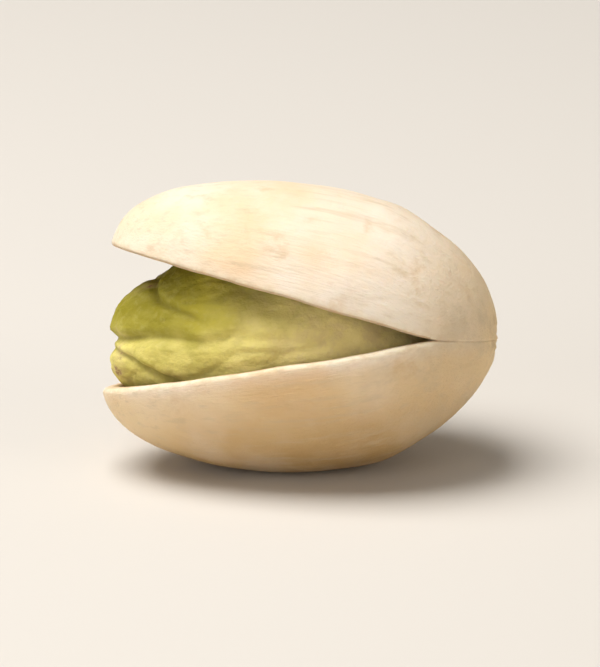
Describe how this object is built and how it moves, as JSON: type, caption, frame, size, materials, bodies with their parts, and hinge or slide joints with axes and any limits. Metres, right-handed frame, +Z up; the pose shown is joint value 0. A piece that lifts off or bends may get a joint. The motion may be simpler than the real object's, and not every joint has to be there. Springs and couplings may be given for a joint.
{
  "type": "pistachio in shell",
  "caption": "Roasted pistachio lying on its side, its hard cream shell split and gaping from the tip, with the green wrinkled kernel showing between the valves.",
  "frame": {"origin": "bottom centre of the nut's box, at the plane of the flat spot it rests on", "axes": "+X from the tip towards the stem end, +Z up, the wider side of the gape towards -Y"},
  "size_m": [0.0202, 0.0138, 0.0148],
  "materials": {
    "shell": "satin",
    "kernel": "satin"
  },
  "bodies": {
    "root": {"shell": "shell", "kernel": "kernel"}
  },
  "joints": []
}
